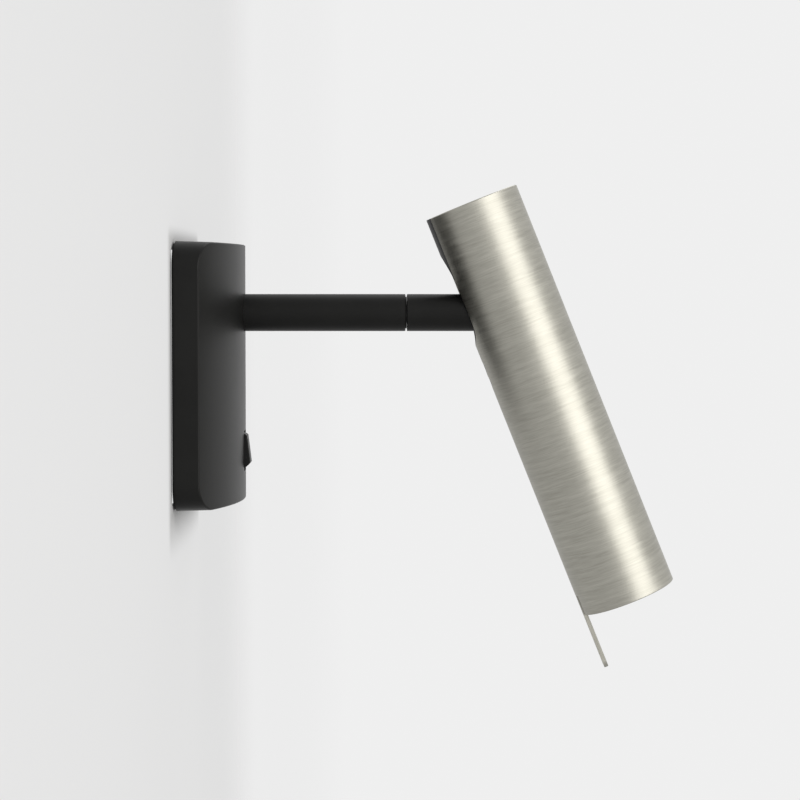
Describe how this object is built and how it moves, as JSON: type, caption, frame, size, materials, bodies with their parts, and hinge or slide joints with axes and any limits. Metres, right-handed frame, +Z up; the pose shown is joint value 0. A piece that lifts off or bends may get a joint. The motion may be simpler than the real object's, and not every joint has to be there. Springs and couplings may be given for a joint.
{
  "type": "wall reading lamp",
  "caption": "Bedside wall reading lamp: bowed square backplate with rocker switch, turning arm and a tilting tubular head with a pull tab.",
  "frame": {"origin": "centre of the backplate's rear face, on the wall", "axes": "+X out of the wall along the arm, +Z up, +Y to the side"},
  "size_m": [0.171, 0.1, 0.1692],
  "materials": {
    "satin_black": "fine satin powder coat",
    "arm_black": "satin black",
    "brushed_nickel": "circumferentially brushed nickel",
    "zinc_plate": "zinc plated",
    "black_screws": "black oxide",
    "bush_brass": "turned brass",
    "foam_rubber": "closed cell foam",
    "white_plastic": "moulded",
    "black_plastic": "fine texture",
    "cast_carrier": "die cast",
    "sink_aluminium": "turned and milled",
    "phosphor": "phosphor under silicone",
    "mirror_finish": "vacuum metallised",
    "clear_lens": "frosted"
  },
  "bodies": {
    "wall_base": {"wall_gasket": "foam_rubber", "mounting_bracket": "zinc_plate", "arm_saddle": "zinc_plate", "saddle_rivets": "zinc_plate", "backplate_cover": "satin_black", "cover_screws": "black_screws", "led_driver": "white_plastic", "driver_screws": "zinc_plate", "terminal_block": "white_plastic", "terminal_screws": "bush_brass", "terminal_fixing_screws": "zinc_plate", "earth_washer": "zinc_plate", "earth_screw": "bush_brass", "switch_body": "black_plastic", "switch_screws": "zinc_plate", "switch_terminals": "bush_brass", "rear_arm": "arm_black", "arm_lock_washer": "zinc_plate", "arm_nut": "zinc_plate", "swivel_bush": "black_plastic", "stop_pin": "zinc_plate"},
    "rocker": {"rocker_paddle": "black_plastic"},
    "front_arm": {"front_arm_tube": "arm_black", "swivel_spindle": "zinc_plate", "swivel_friction_washer": "bush_brass", "swivel_nut": "zinc_plate", "arm_set_screws": "zinc_plate", "hinge_knuckle": "arm_black"},
    "head": {"head_tube": "brushed_nickel", "slot_cover": "black_plastic", "top_cap": "brushed_nickel", "hinge_carrier": "cast_carrier", "carrier_screws": "black_screws", "hinge_bolt": "zinc_plate", "hinge_friction_washers": "bush_brass", "hinge_spring_washer": "zinc_plate", "hinge_nut": "zinc_plate", "centre_rod": "zinc_plate", "heat_sink": "sink_aluminium", "led_board": "white_plastic", "led_emitter": "phosphor", "board_screws": "zinc_plate", "reflector": "mirror_finish", "lens": "clear_lens", "anti_glare_bezel": "black_plastic", "pull_tab": "brushed_nickel"}
  },
  "joints": [
    {"name": "arm_swivel", "type": "hinge", "parent": "wall_base", "child": "front_arm", "pos_m": [0.0775, 0, 0.0208], "axis": [1, 0, 0], "range_deg": [-160, 160]},
    {"name": "head_tilt", "type": "hinge", "parent": "front_arm", "child": "head", "pos_m": [0.1111, 0, 0.0208], "axis": [0, -1, 0], "range_deg": [-21.87, 28.13]},
    {"name": "rocker_rock", "type": "hinge", "parent": "wall_base", "child": "rocker", "pos_m": [0.0175, 0, -0.0274], "axis": [0, 1, 0], "range_deg": [0, 14]}
  ]
}
